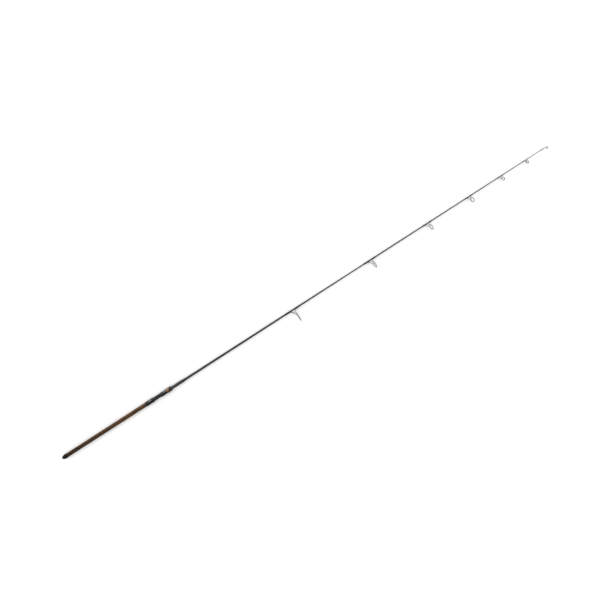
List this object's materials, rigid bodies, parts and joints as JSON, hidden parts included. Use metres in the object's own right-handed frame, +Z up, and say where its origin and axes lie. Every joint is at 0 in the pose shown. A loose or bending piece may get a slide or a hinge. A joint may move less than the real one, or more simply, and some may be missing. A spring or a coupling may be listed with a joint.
{
  "type": "fishing rod",
  "caption": "Two-piece fishing rod with a long cork butt grip, a screw-down reel seat with two hoods, and wire line guides with ceramic rings along one side of a tapered carbon blank.",
  "frame": {"origin": "centre of the butt cap's flat end face, on the rod's axis", "axes": "+X along the rod from the butt to the tip; +Z up from the ground that the rod lies on, on its side; the guides and the reel seat's foot flat face -Y, raised 17.3 degrees towards +Z"},
  "size_m": [3.0426, 0.0865, 0.055],
  "materials": {
    "cap_rubber": "matt moulded black rubber",
    "burl_cork": "brown burl cork, turned and sealed, mottled darker and redder",
    "maroon_anodised": "dark maroon anodised",
    "carbon_blank": "carbon-fibre tube, ground finish with fine spiral tape marks, satin",
    "arbor_fibre": "glued fibre bushes, hidden inside the reel seat",
    "seat_plastic": "matt black glass-filled nylon",
    "hood_black": "polished black",
    "copper_anodised": "copper-brown anodised, fluted",
    "nut_rubber": "black",
    "foregrip_foam": "fine-celled black foam rubber",
    "check_black": "satin black",
    "thread_black": "black thread under clear epoxy",
    "guide_steel": "dark grey plated stainless wire and strip",
    "ring_ceramic": "polished black ceramic",
    "tip_frame_dark": "black coated steel"
  },
  "bodies": {
    "butt_section": {"butt_cap": "cap_rubber", "rear_grip": "burl_cork", "trim_collar": "maroon_anodised", "butt_blank": "carbon_blank", "seat_arbor_1": "arbor_fibre", "seat_arbor_2": "arbor_fibre", "seat_arbor_3": "arbor_fibre", "reel_seat_body": "seat_plastic", "fixed_hood": "seat_plastic", "fixed_hood_shell": "hood_black", "foregrip": "foregrip_foam", "winding_check": "check_black", "trim_whipping": "thread_black", "guide_1_frame": "guide_steel", "guide_1_ring": "ring_ceramic", "guide_1_whippings": "thread_black"},
    "moving_hood": {"moving_hood": "seat_plastic", "moving_hood_shell": "hood_black"},
    "lock_nut": {"lock_nut": "copper_anodised", "nut_end_ring": "nut_rubber"},
    "tip_section": {"tip_blank": "carbon_blank", "ferrule_whipping": "thread_black", "tip_top_frame": "tip_frame_dark", "tip_top_ring": "ring_ceramic", "tip_whipping": "thread_black", "guide_2_frame": "guide_steel", "guide_2_ring": "ring_ceramic", "guide_2_whippings": "thread_black", "guide_3_frame": "guide_steel", "guide_3_ring": "ring_ceramic", "guide_3_whippings": "thread_black", "guide_4_frame": "guide_steel", "guide_4_ring": "ring_ceramic", "guide_4_whippings": "thread_black", "guide_5_frame": "guide_steel", "guide_5_ring": "ring_ceramic", "guide_5_whippings": "thread_black", "guide_6_frame": "guide_steel", "guide_6_ring": "ring_ceramic", "guide_6_whippings": "thread_black"}
  },
  "joints": [
    {"name": "hood_slide", "type": "slide", "parent": "butt_section", "child": "moving_hood", "axis": [-1, 0, 0], "range_m": [0, 0.028]},
    {"name": "nut_turn", "type": "hinge", "parent": "moving_hood", "child": "lock_nut", "pos_m": [0.665, 0, 0], "axis": [-1, 0, 0], "range_deg": [0, 5040]},
    {"name": "ferrule_slide", "type": "slide", "parent": "butt_section", "child": "tip_section", "axis": [1, 0, 0], "range_m": [0, 0.1]}
  ],
  "couplings": [
    {"joint": "hood_slide", "follows": "nut_turn", "m_per_rad": 0.00031831}
  ]
}
